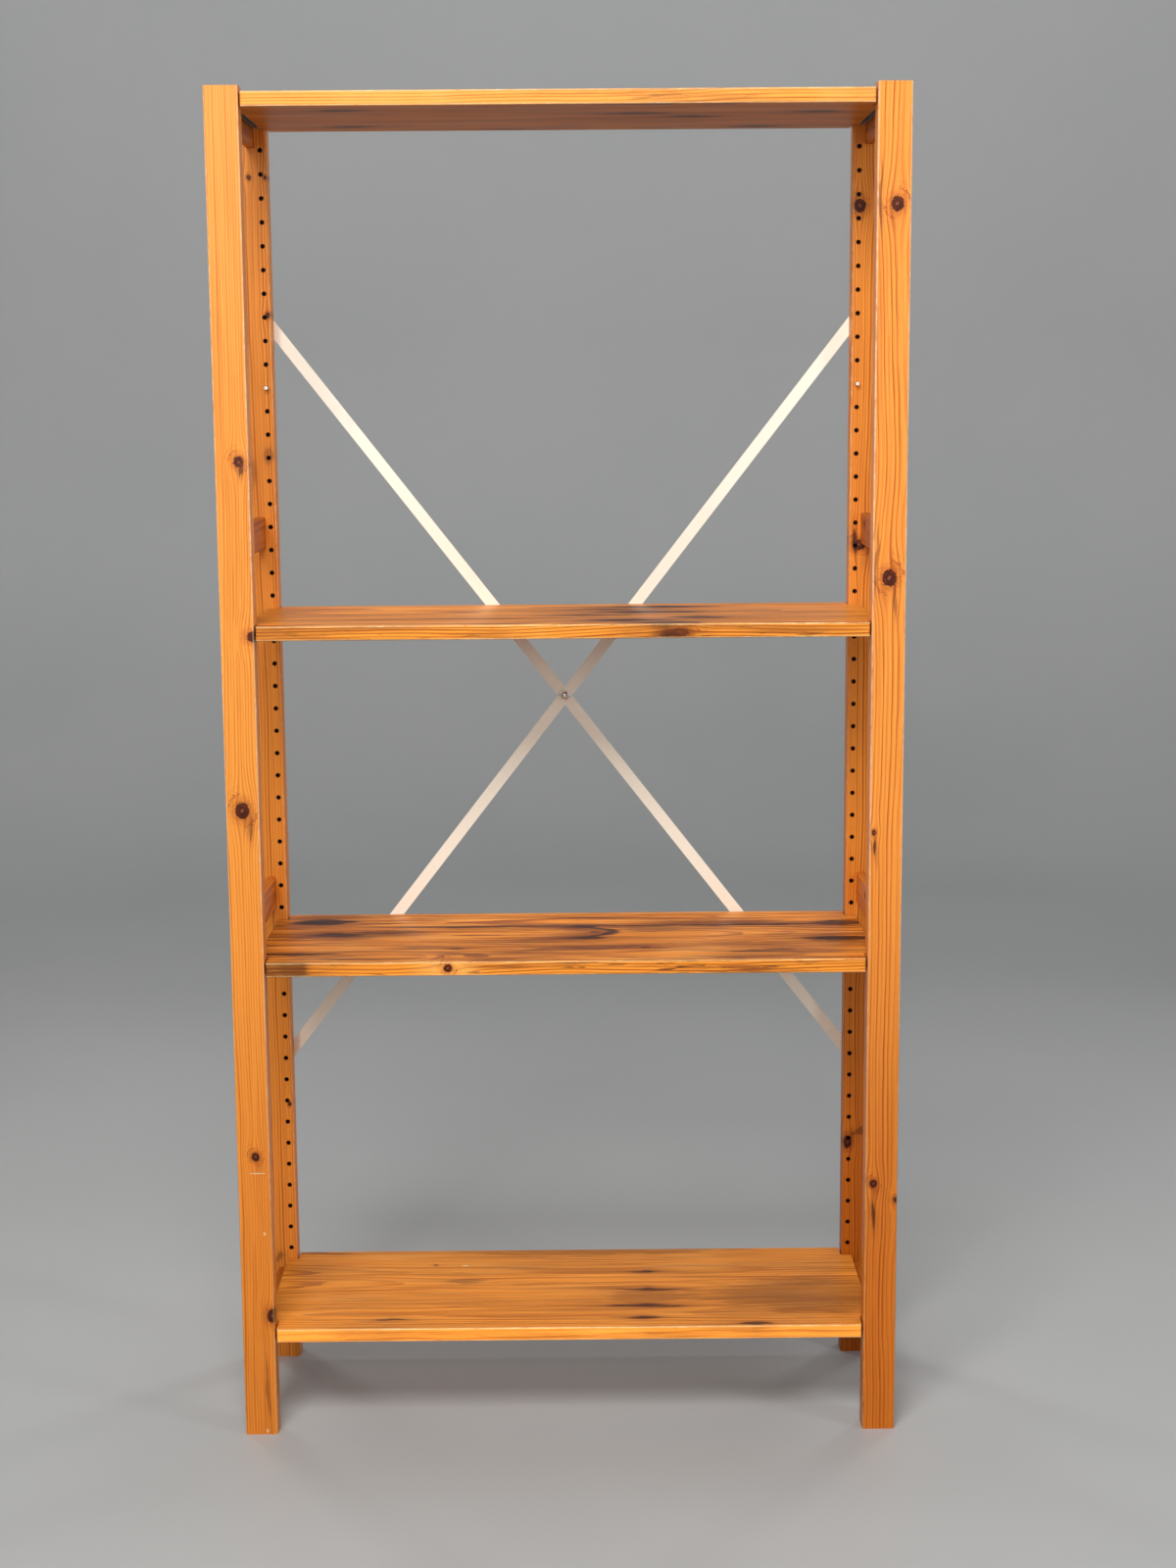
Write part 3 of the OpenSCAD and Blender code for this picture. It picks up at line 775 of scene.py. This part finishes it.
# ---------------------------------------------------------------- camera

# where the photographer stood, from the rows of holes and the ends of posts and shelves
CAMERA_SPOT, LENS = (0.0179, -3.2189, 1.4062), 54.40
HEADING, PITCH, ROLL, LEVEL = [math.radians(degrees) for degrees in (-0.244, -9.357, 0.421, 90.0)]

camera_data = bpy.data.cameras.new("camera")
camera_data.sensor_fit, camera_data.sensor_width, camera_data.lens = "AUTO", 36.0, LENS
camera_data.clip_end = 50.0
camera = bpy.data.objects.new("camera", camera_data)
bpy.context.collection.objects.link(camera)
camera.matrix_world = (
    Matrix.Translation(CAMERA_SPOT)
    @ Matrix.Rotation(HEADING, 4, "Z")
    @ Matrix.Rotation(PITCH, 4, "X")
    @ Matrix.Rotation(ROLL, 4, "Y")
    @ Matrix.Rotation(LEVEL, 4, "X")
)
bpy.context.scene.camera = camera

# ---------------------------------------------------------------- stage: a floor that curves up to a wall

# wide enough for all the lights to stand inside it
FLOOR_RADIUS, COVE_RADIUS, WALL_HEIGHT = 3.6, 1.6, 6.0
COVE_STEPS, AROUND = 12, 96
profile = [(1.2, 0.0), (2.4, 0.0), (FLOOR_RADIUS, 0.0)]
for step in range(1, COVE_STEPS + 1):
    turn = math.radians(90.0 * step / COVE_STEPS)
    profile.append((FLOOR_RADIUS + COVE_RADIUS * math.sin(turn), COVE_RADIUS * (1.0 - math.cos(turn))))
profile.append((FLOOR_RADIUS + COVE_RADIUS, WALL_HEIGHT))
angles = [math.tau * i / AROUND for i in range(AROUND)]
mesh = bmesh.new()
rings = []
for radius, height in profile:
    rings.append([mesh.verts.new((radius * math.cos(a), radius * math.sin(a), height)) for a in angles])
middle = mesh.verts.new((0.0, 0.0, 0.0))
for i in range(AROUND):
    after = (i + 1) % AROUND
    mesh.faces.new((middle, rings[0][i], rings[0][after]))
    for inner, outer in zip(rings, rings[1:]):
        mesh.faces.new((inner[i], outer[i], outer[after], inner[after]))
for face in mesh.faces:
    face.smooth = True
stage_mesh = bpy.data.meshes.new("stage")
mesh.to_mesh(stage_mesh)
mesh.free()
stage = bpy.data.objects.new("stage", stage_mesh)
bpy.context.collection.objects.link(stage)

material, tree = new_material("stage_paint")
(x, y, z), _ = place(tree)
mottle = noise(x / 700.0, y / 700.0, z / 700.0, detail=3.0)
scuffs = noise(x / 40.0, y / 40.0, z / 40.0, detail=4.0, rough=0.7)
tone = blend(rise(mottle, -0.3, 0.3), (0.460, 0.468, 0.466), (0.490, 0.496, 0.492))
surface(tree, tone, mottle * 0.10 + scuffs * 0.08 + 0.50)
stage_mesh.materials.append(material)

# ---------------------------------------------------------------- light

COOL, COOLER, WARM = (0.98, 0.99, 1.0), (0.97, 0.98, 1.0), (1.0, 0.985, 0.96)


def area_light(name, spot, aim, width, height, power, colour=(1.0, 1.0, 1.0), spread=180.0, gloss=True):
    light = bpy.data.lights.new(name, "AREA")
    light.shape, light.size, light.size_y = "RECTANGLE", width, height
    light.energy, light.color, light.spread = power, colour, math.radians(spread)
    obj = bpy.data.objects.new(name, light)
    bpy.context.collection.objects.link(obj)
    obj.visible_glossy = gloss
    obj.location = spot
    obj.rotation_euler = (Vector(aim) - Vector(spot)).to_track_quat("-Z", "Y").to_euler()


area_light("key", (-0.5, -2.7, 3.2), (-0.05, 0.0, 1.2), 1.8, 1.2, 104.0, WARM)
area_light("side", (3.0, -2.0, 2.0), (0.3, 0.0, 1.1), 0.6, 1.8, 24.0, COOLER)
area_light("front", (-0.8, -4.2, 2.2), (0.0, 0.0, 1.2), 2.2, 1.4, 47.0)
area_light("wall_wash", (0.0, 1.6, 4.6), (0.0, 5.2, 2.2), 3.2, 0.6, 48.0, COOL)
area_light("back_fill", (0.6, 3.0, 4.2), (0.0, 0.0, 1.0), 2.4, 1.2, 9.0, COOL, gloss=False)
for name, x in (("back_left", -2.5), ("back_right", 2.5)):
    area_light(name, (x, 2.9, 1.9), (0.0, 0.15, 1.3), 0.8, 1.6, 8.5, spread=80.0, gloss=False)
area_light("far_wash", (0.0, -2.4, 4.9), (0.0, -5.2, 2.2), 3.2, 0.6, 16.0, COOL)

world = bpy.data.worlds.new("world")
bpy.context.scene.world = world
world.use_nodes = True
world.node_tree.nodes["Background"].inputs["Color"].default_value = (0.90, 0.95, 1.0, 1.0)
world.node_tree.nodes["Background"].inputs["Strength"].default_value = 0.09
bpy.context.scene.view_settings.view_transform = "Standard"
